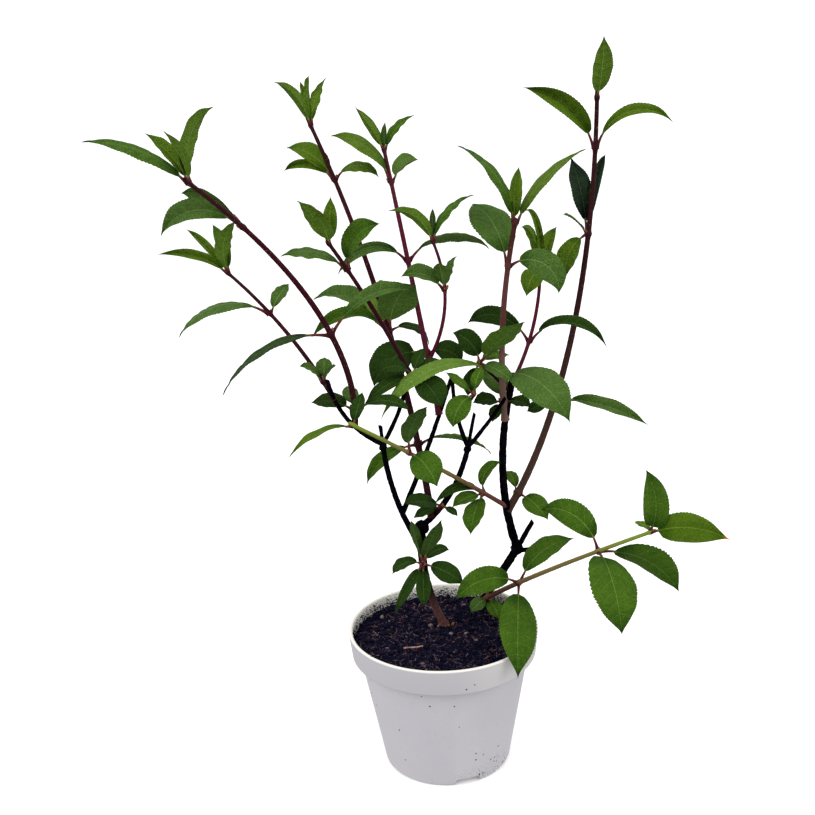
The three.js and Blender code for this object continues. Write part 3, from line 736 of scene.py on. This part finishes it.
# A shoot is a stem with its leaves' green and its nodes, and a spur is a very short one. A node is
# its share of the way up, then its leaves. A leaf is the heading, rise and reach of its tip, and
# may go on with how far its midrib turns over, its width as a share of its reach, a turn of its
# blade about the midrib, how far its two halves fold up, and its own green.
PALE_LIFTED, OLIVE, FRESH, COOL, DEEP, IN_SHADE, GOLD_TIPPED = range(7)
SHOOTS = [
    Stem("left_long", "limb_left_outer_arm", 0.39, 250, (16, 335), (50, 200), (5.3, 3.3), COOL, [
        (0.06, (345, 0, 46, 80, 0.3, 0, 20, DEEP), (160, 5, 38, 50, 0.5, 0, 20, DEEP), (105, 20, 34)),
        (0.34, (195, -25, 96, 75, 0.3, -30, 5), (35, 15, 85, 80, 0.2, -20, 45)),
        (0.78, (160, -5, 72, 100, 0.3, 45, 40), (155, 25, 60, 65, 0.3, 70, 45)),
        (0.98, (200, 25, 78, 55, 0.34, 20, 5), (145, 40, 56, 30, 0.28, 30, 45),
         (255, 50, 48, 30, 0.26, 0, 45), (35, 65, 57, 85, 0.5, 45, 15)),
    ], settle=2),
    Stem("left_low", "limb_left_outer_arm", 0.76, 142, (32, 155), (54, 155), (3.9, 2.7), COOL, [
        (0.13, (210, 40, 25, 50, 0.62), (90, 45, 23, 40, 0.62), (325, 45, 20, 40, 0.62)),
        (0.63, (195, -10, 75, 100, 0.39, -25, 0), (55, 40, 32)),
        (0.98, (210, 20, 62, 50, 0.24, 70, 55), (135, 30, 69, 20, 0.2, 50, 60),
         (120, 50, 50, 30, 0.3, 20, 45), (350, 75, 44, 85, 0.46, 20, 10)),
    ]),
    Stem("centre_left", "limb_centre", 0.13, 366, (12, 125), (27, 150), (6.2, 3.3), FRESH, [
        (0.18, (355, -10, 63, 95, 0.41, 40, 0), (165, -40, 62, 60, 0.27, 40, 40)),
        (0.46, (220, 5, 80, 90, 0.24, 15, 45), (5, -25, 36, 120, 0.4, 10, 10, DEEP),
         (145, 15, 87, 80, 0.28, 5, 40, COOL), (315, 50, 55, 85, 0.62, 55, 5),
         # This leaf lies under the long leaf before it and takes the pale green: painted light.
         (105, 55, 50, 100, 0.72, 0, 5, PALE_LIFTED)),
        (0.84, (160, 10, 49, 90, 0.32, 55, 60, OLIVE), (150, 30, 57, 65, 0.36, 15, 30, OLIVE),
         (350, 0, 38, 120, 0.5, 5, 10, OLIVE)),
        (0.98, (235, 40, 56, 60, 0.22, -50, 45), (40, 65, 43, 40, 0.42, 0, 15),
         (110, 50, 51, 35, 0.24, 35, 60), (280, 75, 41, 150, 0.28, -20, 60)),
    ]),
    Stem("upper_left", "limb_left_inner_arm", 0.97, 140, (28, 220), (37, 220), (4.2, 3), FRESH, [
        (0.78, (185, 15, 53, 80, 0.41, -15, 5), (335, 50, 47, 90, 0.5, -40, 30)),
        (0.98, (210, 55, 42, 35, 0.45, -30, 20), (65, 80, 36, 20, 0.42, -30, 40), (250, 50, 32)),
    ]),
    Stem("centre_tall", "limb_middle", 0.73, 238, (18, 120), (16, 130), (5.3, 3.3), COOL, [
        (0.23, (355, -20, 30, 90, 0.75, -20, 10, DEEP), (190, -30, 53, 100, 0.66, 20, 10, DEEP)),
        (0.57, (210, -5, 67, 115, 0.2, 60, 45), (5, 5, 70, 105, 0.41, 50, 5)),
        (0.86, (185, 40, 64, 80, 0.52, -10, 10, OLIVE), (50, 25, 40, 65, 0.5, 95, 40)),
        (0.98, (210, 55, 45, 20, 0.27, -55, 45), (15, 45, 39, 50, 0.28, -40, 35),
         (295, 80, 24, 5, 0.32, 15, 45)),
    ], bark="crimson"),
    Stem("centre_small", "centre_tall", 0.2, 112, (32, 335), (22, 190), (3.5, 2.5), COOL, [
        (0.6, (220, 20, 49, 70, 0.39, 40, 40), (355, 70, 30, 55, 0.45, -5, 10), (260, 50, 34)),
        (0.98, (210, 35, 49, 80, 0.25, -55, 35), (10, 45, 50, 75, 0.35, -10, 10),
         (275, 80, 28, 60, 0.31, 10, 50)),
    ], bark="crimson"),
    Stem("right_centre", "limb_right", 0.79, 179, (10, 240), (14, 325), (6.2, 4), COOL, [
        (0.1, (200, 5, 27, 40, 0.68, 0, 20, DEEP), (325, -5, 25, 50, 0.62, 0, 20, DEEP),
         (125, 45, 38, 30, 0.52), (95, 45, 30, 40, 0.5), (225, -50, 20, 40, 0.6, 0, 20, DEEP)),
        (0.24, (208, -10, 117, 95, 0.18, -12, 20, PALE_LIFTED), (310, -20, 81, 90, 0.48, 0, 10, COOL)),
        (0.78, (125, 47, 66, 80, 0.6, -10, 15, COOL), (345, -30, 46, 140, 0.5, -50, 10, COOL)),
        (0.98, (175, 55, 77, 65, 0.34, 15, 5), (0, 45, 80, 50, 0.35, -10, 5),
         (75, 60, 51, 35, 0.33, -25, 50)),
    ], bark="grey"),
    Stem("right_mid", "limb_right", 0.99, 101, (33, 25), (7, 70), (3.6, 2.9), FRESH, [
        (0.39, (145, 10, 63, 105, 0.28, 60, 20, DEEP), (330, 0, 70, 115, 0.24, -8, 45, DEEP)),
        (0.98, (105, 55, 62, 135, 0.2, 40, 60), (50, 55, 46, 60, 0.36, -20, 40),
         (240, 50, 56, 110, 0.2, -60, 40), (240, -30, 32, 100, 0.6, 30, 15, OLIVE), (50, 15, 26)),
    ], bark="crimson"),
    Stem("right_tall", "limb_right", 0.25, 383, (43, 25), (1, 295), (7, 3.7), FRESH, [
        (0.05, (105, 25, 28, 60), (310, -25, 38, 50, 0.6)),
        (0.29, (150, -30, 31, 5, 0.41, 60, 25, DEEP), (330, -10, 86, 40, 0.22, -12, 45, COOL)),
        # The first two leaves of this node take the near-black green: painted shade.
        (0.68, (110, 65, 72, 30, 0.36, -20, 20, IN_SHADE), (65, 50, 86, 60, 0.2, -15, 60, IN_SHADE),
         (205, -60, 43, 75, 0.48, 5, 20, OLIVE), (215, 35, 34)),
        (0.87, (190, 40, 82, 70, 0.38, 70, 60, OLIVE), (10, 15, 71, 120, 0.2, -35, 45, OLIVE)),
        (0.98, (270, 55, 58, 5, 0.31, -15, 0)),
    ], settle=2, bark="brown"),
    Stem("left_arching", "limb_right", 0.28, 199, (55, 230), (57, 205), (4.4, 3), FRESH, [
        (0.2, (30, 50, 30, 125, 0.4, 0, 25), (250, -32, 45, 45, 0.48, -25, 15), (220, -5, 36),
         (210, 0, 49, 105, 0.25, 50, 45, DEEP)),
        (0.69, (298, -18, 50, 50, 0.52, -15, 15), (335, 65, 44, 70, 0.6, 45, 10, DEEP)),
        (0.98, (210, -15, 58, 60, 0.25), (70, 45, 30)),
    ], bark="olive"),
    Stem("right_low", "trunk_right", 0.09, 216, (56, 290), (67, 350), (5, 3.1), FRESH, [
        (0.07, (225, -15, 24, 40, 0.6), (290, -25, 26, 40, 0.6), (290, 45, 26)),
        (0.34, (200, -5, 61, 85, 0.41, 30, 25), (20, 30, 63, 70, 0.43, 15, 15),
         (264, -27, 98, 40, 0.35, 15, 15)),
        (0.76, (145, 25, 60, 100, 0.39, 40, 5), (280, -40, 74, 110, 0.59, 20, 15),
         (0, -30, 79, 65, 0.42, -95, 0)),
        (0.98, (110, 80, 52, 85, 0.52, 30, 40, FRESH), (315, 10, 73, 40, 0.35, -85, 15, GOLD_TIPPED),
         (110, 0, 24, 40, 0.42, 0, 20, OLIVE)),
    ], bark="olive"),
    Stem("rosette", "trunk_left", 0.63, 15, (66, 270), (66, 270), (3, 2.6), DEEP, [
        (0.9, (240, 70, 50, 10, 0.24, -40, 45), (330, 65, 49, 20, 0.43, 45, 0),
         (40, 5, 31, 90, 0.33, -45, 25), (345, -25, 40, 30, 0.48, -15, 15),
         (270, -50, 39, 50, 0.37, -5, 25), (245, -20, 65, 40, 0.2, 15, 45),
         (190, -15, 28, 95, 0.55, -10, 20)),
    ], spur=True),
    Stem("fork_spur", "limb_centre", 0.2, 13, (57, 295), (42, 335), (2.6, 2.2), DEEP, [
        (0.9, (210, 15, 40, 40, 0.5), (185, -20, 28), (315, -15, 18)),
    ], spur=True),
    Stem("inner_spur", "limb_left_inner_arm", 0.88, 12, (60, 300), (60, 300), (2.8, 2.4), DEEP, [
        (0.9, (210, 10, 34, 90, 0.6), (60, 40, 28), (30, 15, 30), (315, -35, 40, 60, 0.7),
         (210, -20, 48, 40, 0.3)),
    ], spur=True),
    Stem("centre_spur", "limb_centre_left_arm", 0.42, 30, (43, 315), (32, 340), (2.6, 2.2), FRESH, [
        (0.95, (175, 40, 30, 10, 0.4, -5, 15), (55, 55, 26), (225, -40, 35, 90, 0.6, 5, 15),
         (325, 60, 18)),
    ], spur=True),
    Stem("right_spur", "limb_right", 0.95, 42, (45, 200), (45, 200), (2.8, 2.4), FRESH, [
        (0.95, (195, 50, 37, 70, 0.55, 50, 15, DEEP), (320, 40, 62, 25, 0.45, 45, 10), (40, 0, 36),
         (320, -20, 38), (225, -60, 30, 40, 0.5, 0, 20, DEEP)),
    ], spur=True),
]
# Each bark's colours at the foot, in the middle and at the tip
BARKS = {
    "maroon": ((44, 14, 20), (48, 6, 18), (44, 14, 18)),
    "olive": ((88, 54, 46), (104, 92, 52), (106, 124, 42)),
    "grey": ((110, 86, 76), (84, 48, 46), (58, 30, 26)),
    "crimson": ((74, 22, 38), (78, 18, 38), (64, 24, 32)),
    "brown": ((62, 44, 36), (44, 18, 20), (40, 12, 16)),
}


def shoot_radius(stem, share, turn, place):
    """A shoot's radius, with its taper, swollen nodes and a little waviness."""
    swelling = 0.0
    for node in stem.nodes:
        away = (share - node[0]) * stem.length / 2.1
        swelling += 0.4 * math.exp(-away * away)
    heel = 0.35 * math.exp(-share * stem.length / 4)
    wave = 0.05 * noise.noise(Vector(place) * 260)
    return girth_at(stem, share) / 2 * MM * (1 + swelling + heel + wave)


shoot_parts = []
for stem in SHOOTS:
    line = lines[stem.name] = stem_line(point_at(lines[stem.on], stem.at), stem)
    ages = (0.0, 0.8 if stem.spur else 1.0)
    part = tube(line, partial(shoot_radius, stem), 12, 1.1 * MM, ages, tip=1.5 * MM)
    part["finishes"] = [list(BARKS).index(stem.bark)] * len(part["faces"])
    shoot_parts.append(part)


def shoot_bark(name, foot_colour, middle_colour, tip_colour):
    """Smooth young bark with pale pores. Its colour drifts from the foot to the tip."""
    finish, shader, places = new_finish(name, 0.04)
    age, patches, pores = age_of(places), places.mottle(160, 3), places.mottle(620, 1)
    drift = age + patches * 0.2
    lower = drift.rising(0.25, 0.65).colour(paint(*foot_colour), paint(*middle_colour))
    upper = drift.rising(0.75, 1.05).colour(lower, paint(*tip_colour))
    skin = (pores.rising(0.68, 0.74) * 0.35).colour(upper, paint(142, 112, 92))
    feed(shader, skin, patches * 0.25 + 0.36, (pores + patches).bump(0.4, 0.5 * MM))
    return finish


barks = [shoot_bark(f"{name}_bark", *colours) for name, colours in BARKS.items()]
shoots = new_piece("shoots", joined_mesh(shoot_parts), barks, 60)
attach(shoots, "root")
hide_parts(*[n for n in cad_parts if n.startswith("bough_")])

# The leaves
# Pointed oval leaves with finely toothed edges, quilted between pairs of side veins, and paler
# beneath. Each hangs by a short reddish stalk; the young ones at a tip sit close on the shoot.

STALK_SHARE = 0.15
YOUNG_STALK_SHARE = 0.09
YOUNG_FROM = 0.9
SMALL_REACH = 30
FULLNESS = (0.8, 0.98)
YOUNG_FULLNESS = (0.7, 0.8)
USUAL_LEAF = (0, 20, 60, 40, 0.42, 0, 20, None)
FRONT_ROLL = 30
VEINS = 8
ROWS_PER_VEIN = 6
VEIN_ROW = 0.35
LEAF_THICKNESS = 0.32 * MM
QUILT_HEIGHT = 0.8 * MM
TOOTH_DEPTH = 0.045
BOW = 0.035
TWIST = 14
CURL = (0.1, 0.3)
WAVE_HEIGHT = (0.2 * MM, 0.7 * MM)
WAVE_COUNT = (2.0, 3.6)
MIDRIB_WIDTH = 0.42 * MM
GOLD = (196, 132, 24)
BASAL_BUDS = ((5 * MM, 18 * MM, 280), (8 * MM, 20 * MM, 340), (-2 * MM, 20 * MM, 220))
BLADE_COLUMNS = np.array((-1, -0.82, -0.6, -0.34, 0, 0, 0.34, 0.6, 0.82, 1.0))
BLADE_SIDES = np.array([-1] * 5 + [1] * 5)
SKINS = ("upper", "midrib", "vein", "lower", "lower_rib")
# Each green's name, its dark and its light, and the leaf's underside
TONES = (
    # The pale green, and most of all its underside, is lighter than the leaf's own colour: partly painted
    # light, for leaves that lie in the shade of others.
    ("pale", (76, 106, 30), (99, 128, 52), (122, 152, 76)),
    ("olive", (50, 76, 10), (84, 110, 26), (88, 118, 36)),
    ("fresh", (34, 62, 12), (70, 101, 25), (84, 118, 40)),
    ("cool", (44, 72, 18), (79, 106, 48), (84, 114, 48)),
    ("deep", (22, 40, 8), (40, 65, 18), (60, 86, 34)),
    # The dark green is a near-black copy of the greens, for leaves that lie in deep shade: painted shade.
    ("dark", (5, 9, 11), (36, 54, 34), (44, 62, 36)),
    ("gold_tipped", (52, 80, 8), (86, 114, 26), (88, 116, 38)),
)


def leaf_line(foot, heading, rise, reach, arch, bow, steps=64):
    """The midrib: an arc that turns over by arch, bowed a little sideways."""
    bend, turn = math.radians(arch), math.radians(heading)
    step = reach * (bend / 2) / math.sin(bend / 2) / steps
    tilts = np.radians(90 - rise - arch / 2 + arch * (np.arange(steps) + 0.5) / steps)
    moves = np.stack([*polar(np.sin(tilts), turn), np.cos(tilts)], 1)
    line = np.vstack([foot, foot + np.cumsum(moves * step, axis=0)])
    level = np.array((-math.sin(turn), math.cos(turn), 0))
    return line + level * (bow * reach * np.sin(math.pi * np.linspace(0, 1, steps + 1)))[:, None]


def blade_half_width(along, fullness):
    """The blade's outline, 1 where it is widest and drawn out to a fine point."""
    along = np.clip(along, 0, 1)
    return np.sin(math.pi * along**fullness) ** (0.64 + 0.9 * along**4)


def blade_rows():
    """How far along each row of a blade starts. A vein's first row is narrow."""
    steps = [VEIN_ROW if row % ROWS_PER_VEIN == 0 else 1.0 for row in range(VEINS * ROWS_PER_VEIN)]
    rows = np.concatenate([[0], np.cumsum(steps)])
    return (rows / rows[-1])[:, None]


def blade_faces():
    """The faces of a blade's upper and lower skin, which share their border, and their skins."""
    tall, wide = len(BLADE_ROWS), len(BLADE_COLUMNS)
    upper = np.arange(tall * wide).reshape(tall, wide)
    lower = upper.copy()
    lower[1:-1, 1:-1] = np.arange((tall - 2) * (wide - 2)).reshape(tall - 2, wide - 2) + tall * wide
    upper, lower = upper.tolist(), lower.tolist()
    faces, skins = [], []
    for row in range(tall - 1):
        for column in range(wide - 1):
            is_midrib = BLADE_COLUMNS[column] == BLADE_COLUMNS[column + 1]
            is_vein = row % ROWS_PER_VEIN == 0 and row > 0
            a, b, c, d = row, row + 1, column, column + 1
            faces.append((upper[a][c], upper[a][d], upper[b][d], upper[b][c]))
            skins.append("midrib" if is_midrib else "vein" if is_vein else "upper")
            faces.append((lower[a][c], lower[b][c], lower[b][d], lower[a][d]))
            skins.append("lower_rib" if is_midrib else "lower")
    return faces, np.array([SKINS.index(skin) for skin in skins])


BLADE_ROWS = blade_rows()
BLADE_FACES, BLADE_SKINS = blade_faces()


def between(rows, shares):
    """A line's values at shares of the way along it."""
    marks = np.linspace(0, 1, len(rows))
    return np.stack([np.interp(shares, marks, rows[:, k]) for k in range(3)], -1)


def leaf_parts(foot, leaf, tone, is_young, dice):
    """A leaf's blade, in the given tone, and its stalk."""
    heading, rise, reach, arch, width, roll, fold = leaf
    reach, turn, fold = reach * MM, math.radians(heading), math.radians(fold)
    stalk_share = YOUNG_STALK_SHARE if is_young else STALK_SHARE
    fullness = dice.uniform(*(YOUNG_FULLNESS if is_young else FULLNESS))
    half, blade_length = width * reach / 2, reach * (1 - stalk_share)
    line = leaf_line(foot, heading, rise, reach, arch, dice.uniform(-BOW, BOW))
    twist = math.radians(dice.uniform(-TWIST, TWIST))
    curl, wave = dice.uniform(*CURL), dice.uniform(*WAVE_HEIGHT)
    wave_count, wave_start = dice.uniform(*WAVE_COUNT), dice.uniform(0, 6.3)
    rows, outward = BLADE_ROWS, np.abs(BLADE_COLUMNS)
    # Side veins leave the midrib at a slant, so a row's places move towards the tip as it goes out
    slant = 0.9 * half / blade_length
    along = rows + slant * outward * blade_half_width(rows, fullness) * (1 - rows)
    spread = blade_half_width(along, fullness)
    teeth = np.where(np.arange(len(rows)) % 2 == 1, TOOTH_DEPTH, -0.6 * TOOTH_DEPTH)[:, None]
    teeth = teeth * (outward > 0.99) * np.sin(math.pi * rows) ** 0.5
    rib_width = np.minimum(MIDRIB_WIDTH, 0.3 * half * spread + 0.1 * MM) * (1 - 0.6 * rows)
    across = BLADE_COLUMNS * half * spread * (1 + teeth) + BLADE_SIDES * rib_width * (1 - outward)
    between_veins = (rows * VEINS) % 1.0
    quilt = np.sin(math.pi * between_veins) * np.sin(math.pi * outward**0.8)
    lift = math.sin(fold) * np.abs(across) - curl * across**2 / half
    lift = lift + quilt * QUILT_HEIGHT * min(1.0, reach / (70 * MM))
    ripple = np.sin(wave_count * math.tau * rows + wave_start + BLADE_SIDES)
    lift = lift + wave * outward**2 * ripple * spread
    share = stalk_share + (1 - stalk_share) * along
    centre = between(line, share)
    tangent = units(between(np.gradient(line, axis=0), share))
    up = units(np.cross(tangent, (-math.sin(turn), math.cos(turn), 0)))
    sideways = np.cross(tangent, up)
    facing = 0 if is_young else -FRONT_ROLL * math.cos(turn)
    lean = (math.radians(facing + roll) + twist * (share - 0.5))[..., None]
    flat = sideways * np.cos(lean) + up * np.sin(lean)
    face = up * np.cos(lean) - sideways * np.sin(lean)
    top = centre + flat * (math.cos(fold) * across)[..., None] + face * lift[..., None]
    ridge = np.where(outward == 0, 0.5 * MM * (1 - rows), 0.0)
    ridge = ridge + 0.22 * MM * (np.abs(between_veins - 0.03) < 0.06) * (1 - outward)
    bottom = top - face * (LEAF_THICKNESS + ridge)[..., None]
    points = np.vstack([top.reshape(-1, 3), bottom[1:-1, 1:-1].reshape(-1, 3)])
    ages = np.concatenate([along.ravel(), along[1:-1, 1:-1].ravel()])
    finishes = BLADE_SKINS + len(SKINS) * tone
    blade = {"points": points, "faces": BLADE_FACES, "finishes": finishes, "ages": ages}
    stalk_end = max(stalk_share * 1.25, 2.5 * MM / reach)

    def stalk_radius(at, angle, place):
        heel = (0.2 if is_young else 0.7) * math.exp(-at * reach / (2 * MM))
        return (1.4 - 0.5 * at / stalk_end + heel) * MM * min(1.0, reach / (60 * MM) + 0.25)

    stalk = tube(line - face[0, 0] * 0.3 * MM, stalk_radius, 8, 1.2 * MM, last=stalk_end, tip=0.5 * MM)
    return blade, stalk


def bud(place, towards, length):
    """A pointed bud in the angle of a leaf."""
    line = place + np.outer(np.linspace(0, 1, 9), towards * length)

    def swelling(share, turn, at):
        return length * 0.27 * math.sin(math.pi * min(1, 0.18 + share * 0.8)) ** 0.8

    return tube(line, swelling, 8, length / 8, tip=length * 0.08)


blades, stalks, buds = {}, [], []
for number, stem in enumerate(SHOOTS):
    dice = random.Random(100 + number)
    line = lines[stem.name]
    blades[stem.name] = []
    for at, *leaves in stem.nodes:
        centre, tangent = point_at(line, at), tangent_at(line, at)
        radius = girth_at(stem, at) / 2 * MM
        is_young = at > YOUNG_FROM and not stem.spur
        for leaf in leaves:
            *leaf, tone = leaf + USUAL_LEAF[len(leaf):]
            heading, rise, reach = leaf[:3]
            outward = squared(direction(90 - rise, heading), tangent)
            foot = centre + outward * (radius - 0.6 * MM)
            usual = (OLIVE if reach > SMALL_REACH else DEEP) if is_young else stem.tone
            usual = dice.choice((usual, usual, usual, min(usual + 1, DEEP)))
            blade, stalk = leaf_parts(foot, leaf, usual if tone is None else tone, is_young, dice)
            blades[stem.name].append(blade)
            stalks.append(stalk)
            if not is_young:
                towards = unit(tangent * 0.8 + outward * 0.45)
                buds.append(bud(centre + outward * radius * 0.7, towards, dice.uniform(3, 5) * MM))

for x, y, heading in BASAL_BUDS:
    buds.append(bud(np.array((x, y, SOIL_LEVEL + 0.3 * MM)), direction(40, heading), 4.5 * MM))


def leaf_green(name, dark, light, tip):
    """Two greens in soft patches, darkened along a net of fine sunken veins and towards both ends of the
    blade: painted shade in the net's grooves, at the blade's foot and at its tip.
    """
    finish, shader, places = new_finish(name, 0.03)
    age, patches = age_of(places), places.mottle(60, 4, 0.65)
    cells = places.node("TexVoronoi", {"Vector": places, "Scale": 620.0})
    # The net is sunk by the bump, and its grooves are darkened: painted shade.
    net = cells.rising(0.3, 0.75) * 0.5 + places.mottle(800, 2).rising(0.4, 0.65) * 0.5
    # Painted shade at the blade's foot, where leaves crowd at the node, and at its tip, which bends away
    # from the light.
    ends = age.rising(0.3, 0.0) * 0.7 + age.rising(0.6, 1.0) * 0.5
    tone_and_shade = (patches.rising(0.75, 0.25) * 0.35 + net * 0.45 + ends).limited()
    skin = tone_and_shade.colour(paint(*light), paint(*dark))
    skin = (age + patches * 0.1).rising(0.93, 1.0).colour(skin, paint(*tip))
    feed(shader, skin, patches * 0.2 + 0.5, (1 - net).bump(1.0, 0.7 * MM))
    return finish


def leaf_finishes():
    """The finishes of every tone, in the order of the skins."""
    finishes = []
    for name, *greens in TONES:
        dark, light, under = np.array(greens)
        tip = GOLD if name == "gold_tipped" else dark
        shades = (
            (dark, light), (light, light + (32, 28, 34)), (dark + 9, light + 13),
            ((under * 0.8).astype(int), under), (under, under + 26))
        for skin, (darker, lighter) in zip(SKINS, shades):
            finishes.append(leaf_green(f"leaf_{name}_{skin}", darker, lighter, tip))
    return finishes


LEAF_GROUPS = {
    "leaves_left": ("left_long", "left_low", "upper_left"),
    "leaves_centre": ("centre_left", "centre_tall", "centre_small", "inner_spur", "centre_spur"),
    "leaves_right": ("right_centre", "right_mid", "right_tall", "right_spur"),
    "leaves_low": ("left_arching", "right_low", "rosette", "fork_spur"),
}
finishes = leaf_finishes()
for name, shoot_names in LEAF_GROUPS.items():
    parts = [part for shoot in shoot_names for part in blades[shoot]]
    piece = new_piece(name, joined_mesh(parts), finishes, 60)
    masses = [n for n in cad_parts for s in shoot_names
              if n == f"foliage_{s}" or n.startswith(f"leaves_{s}_")]
    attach(piece, "root")
    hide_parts(*masses)

stalk_finish = shoot_bark("leaf_stalk", (54, 16, 26), (86, 38, 40), (98, 96, 44))
bud_finish = shoot_bark("bud_scale", (120, 74, 60), (112, 84, 52), (104, 56, 46))
leaf_stalks = new_piece("leaf_stalks", joined_mesh(stalks), [stalk_finish], 60)
leaf_buds = new_piece("leaf_buds", joined_mesh(buds), [bud_finish], 60)
for piece in (leaf_stalks, leaf_buds):
    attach(piece, "root")

# The studio
# A plain pale floor that runs out to a white surround, two large soft lights, and the camera
# at the photo's angle: a little above the plant, looking down and rolled a touch.

CAMERA_PLACE = (0, -0.85, 0.564)
CAMERA_PITCH = 15.4
CAMERA_YAW = 1.55
CAMERA_ROLL = -2.63
FOCAL_PIXELS = 1041
PHOTO_WIDTH = 815
SENSOR_WIDTH = 36
FLOOR_REACH = 30
FLOOR_TOP = -0.5 * MM
FLOOR_BOTTOM = -20 * MM
LIGHT_TARGET = (0, 0, 0.3)
LIGHT_SIZE = 1.2
GROUND_LIGHT = (0.52, 0.52, 0.52, 1)
SKY_LIGHT = (1, 1, 1, 1)
SKY_STRENGTH = 1.34

floor_outline = [(0, FLOOR_BOTTOM), (FLOOR_REACH, FLOOR_BOTTOM), (FLOOR_REACH, FLOOR_TOP), (0, FLOOR_TOP)]
finish, shader, places = new_finish("studio_floor", 0.1)
clouds = places.mottle(1.5, 2)
feed(shader, clouds.colour(paint(250, 250, 250), paint(253, 253, 253)), clouds * 0.1 + 0.85)
floor = new_piece("studio_floor", turned_mesh(floor_outline, 64), [finish], 30)
floor.visible_diffuse = False
floor.visible_glossy = False


def soft_light(name, place, power):
    """A large round light that looks at the plant."""
    lamp = bpy.data.lights.new(name, "AREA")
    lamp.shape = "DISK"
    lamp.size = LIGHT_SIZE
    lamp.energy = power
    light = placed(name, lamp)
    light.location = place
    aim = Vector(LIGHT_TARGET) - Vector(place)
    light.rotation_euler = aim.to_track_quat("-Z", "Y").to_euler()


soft_light("key_light", (-1.5, -1.0, 1.6), 16)
soft_light("fill_light", (1.5, -1.0, 1.6), 14)

world = bpy.data.worlds.new("surround")
bpy.context.scene.world = world
world.use_nodes = True
sky = world.node_tree.nodes["Background"]
outlook = Wire(world.node_tree.nodes.new("ShaderNodeTexCoord").outputs["Generated"])
above = outlook.axes()[2].rising(-0.15, -0.02)
world.node_tree.links.new(above.colour(GROUND_LIGHT, SKY_LIGHT).socket, sky.inputs["Color"])
sky.inputs["Strength"].default_value = SKY_STRENGTH

lens = bpy.data.cameras.new("camera")
lens.sensor_width = SENSOR_WIDTH
lens.lens = FOCAL_PIXELS / PHOTO_WIDTH * SENSOR_WIDTH
camera = placed("camera", lens)
looking = Matrix.Rotation(math.radians(CAMERA_YAW), 3, "Z")
looking = looking @ Matrix.Rotation(math.radians(90 - CAMERA_PITCH), 3, "X")
looking = looking @ Matrix.Rotation(math.radians(CAMERA_ROLL), 3, "Z")
camera.matrix_world = Matrix.Translation(CAMERA_PLACE) @ looking.to_4x4()
bpy.context.scene.camera = camera
bpy.context.scene.view_settings.view_transform = "Standard"
